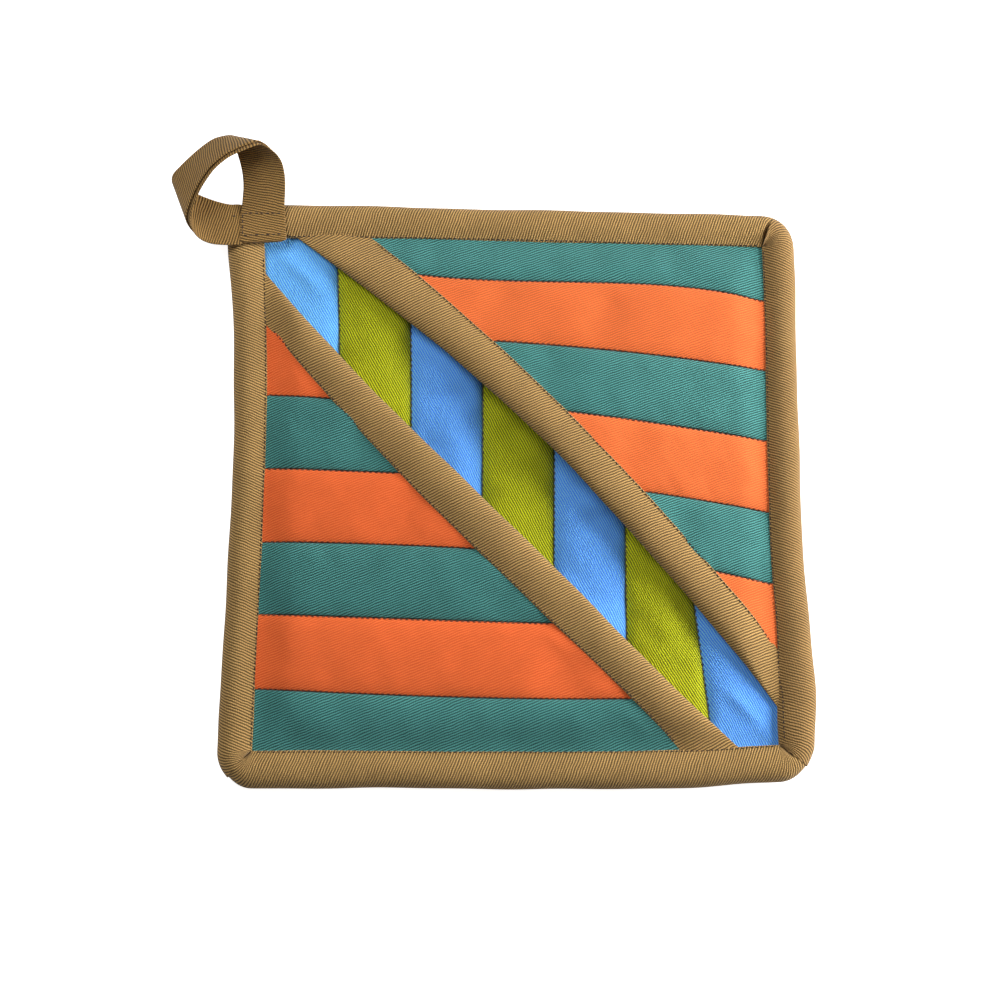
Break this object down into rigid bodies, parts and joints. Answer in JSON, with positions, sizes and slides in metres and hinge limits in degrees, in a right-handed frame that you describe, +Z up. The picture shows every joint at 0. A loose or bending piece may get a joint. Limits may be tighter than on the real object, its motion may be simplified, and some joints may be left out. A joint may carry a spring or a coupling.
{
  "type": "oven mitt",
  "caption": "Square quilted pot mitt with a pieced striped face, two triangular corner hand pockets, a bound edge with rounded corners and a tape hanging loop.",
  "frame": {"origin": "middle of the back face, on the surface the mitt lies on", "axes": "+Z up out of the pocket face, +Y towards the edge with the hanging loop at its left end, +X towards the finger pocket's side"},
  "size_m": [0.2192, 0.2286, 0.0259],
  "materials": {
    "olive twill": "twill weave",
    "orange twill": "twill weave",
    "teal twill": "twill weave",
    "blue twill": "twill weave",
    "green twill": "twill weave",
    "back cloth": "twill weave",
    "lining cotton": "plain weave",
    "batting": "lofted fibre",
    "heat layer": "needled felt",
    "thread": "matt"
  },
  "bodies": {
    "finger_half": {"back_panel_finger_side": "back cloth", "base_batting_finger_side": "batting", "blue_strip_1_finger_side": "blue twill", "blue_strip_2_finger_side": "blue twill", "blue_strip_3_finger_side": "blue twill", "blue_strip_4_finger_side": "blue twill", "green_strip_1_finger_side": "green twill", "green_strip_2_finger_side": "green twill", "green_strip_3_finger_side": "green twill", "heat_layer_finger_side": "heat layer", "loop_box_stitch": "thread", "loop_sewn_end": "olive twill", "pad_stitching_finger_side": "thread", "right_binding": "olive twill", "top_binding": "olive twill"},
    "thumb_half": {"back_panel_thumb_side": "back cloth", "base_batting_thumb_side": "batting", "blue_strip_1_thumb_side": "blue twill", "blue_strip_2_thumb_side": "blue twill", "blue_strip_3_thumb_side": "blue twill", "blue_strip_4_thumb_side": "blue twill", "bottom_binding": "olive twill", "green_strip_1_thumb_side": "green twill", "green_strip_2_thumb_side": "green twill", "green_strip_3_thumb_side": "green twill", "heat_layer_thumb_side": "heat layer", "left_binding": "olive twill", "pad_stitching_thumb_side": "thread"},
    "hanging_loop": {"hanging_loop": "olive twill"},
    "finger_end_panel": {"finger_batting_end": "batting", "finger_lining_end": "lining cotton", "finger_mouth_band_end": "olive twill", "finger_stripe_1_end": "teal twill", "finger_stripe_2_end": "orange twill", "finger_stripe_3_end": "teal twill"},
    "finger_side_panel": {"finger_batting_side": "batting", "finger_lining_side": "lining cotton", "finger_mouth_band_side": "olive twill", "finger_stripe_1_side": "teal twill", "finger_stripe_2_side": "orange twill", "finger_stripe_3_side": "teal twill", "finger_stripe_4_side": "orange twill", "finger_stripe_5_side": "teal twill", "finger_stripe_6_side": "orange twill"},
    "thumb_end_panel": {"thumb_batting_end": "batting", "thumb_lining_end": "lining cotton", "thumb_mouth_band_end": "olive twill", "thumb_stripe_1_end": "teal twill", "thumb_stripe_2_end": "orange twill", "thumb_stripe_3_end": "teal twill"},
    "thumb_side_panel": {"thumb_batting_side": "batting", "thumb_lining_side": "lining cotton", "thumb_mouth_band_side": "olive twill", "thumb_stripe_1_side": "teal twill", "thumb_stripe_2_side": "orange twill", "thumb_stripe_3_side": "teal twill", "thumb_stripe_4_side": "orange twill", "thumb_stripe_5_side": "teal twill", "thumb_stripe_6_side": "orange twill"}
  },
  "joints": [
    {"name": "diagonal_fold", "type": "hinge", "parent": "finger_half", "child": "thumb_half", "pos_m": [0, 0, 0], "axis": [0.7071, -0.7071, 0], "range_deg": [0, 160]},
    {"name": "loop_swing", "type": "hinge", "parent": "finger_half", "child": "hanging_loop", "pos_m": [-0.0953, 0.0874, 0.0099], "axis": [0.7071, 0.7071, 0], "range_deg": [0, 120]},
    {"name": "finger_pocket_open", "type": "hinge", "parent": "finger_half", "child": "finger_end_panel", "pos_m": [0.0881, 0.0881, 0.0067], "axis": [-1, 0, 0], "range_deg": [0, 12]},
    {"name": "finger_pocket_ridge", "type": "hinge", "parent": "finger_end_panel", "child": "finger_side_panel", "pos_m": [0.0881, 0.0881, 0.0061], "axis": [0.7193, 0.689, -0.0884], "range_deg": [0, 17]},
    {"name": "thumb_pocket_open", "type": "hinge", "parent": "thumb_half", "child": "thumb_end_panel", "pos_m": [-0.0881, -0.0881, 0.0067], "axis": [1, 0, 0], "range_deg": [0, 12]},
    {"name": "thumb_pocket_ridge", "type": "hinge", "parent": "thumb_end_panel", "child": "thumb_side_panel", "pos_m": [-0.0881, -0.0881, 0.0061], "axis": [-0.7281, -0.6826, -0.0625], "range_deg": [0, 17]}
  ],
  "couplings": [
    {"joint": "finger_pocket_ridge", "follows": "finger_pocket_open", "ratio": 1.38},
    {"joint": "thumb_pocket_ridge", "follows": "thumb_pocket_open", "ratio": 1.37}
  ]
}
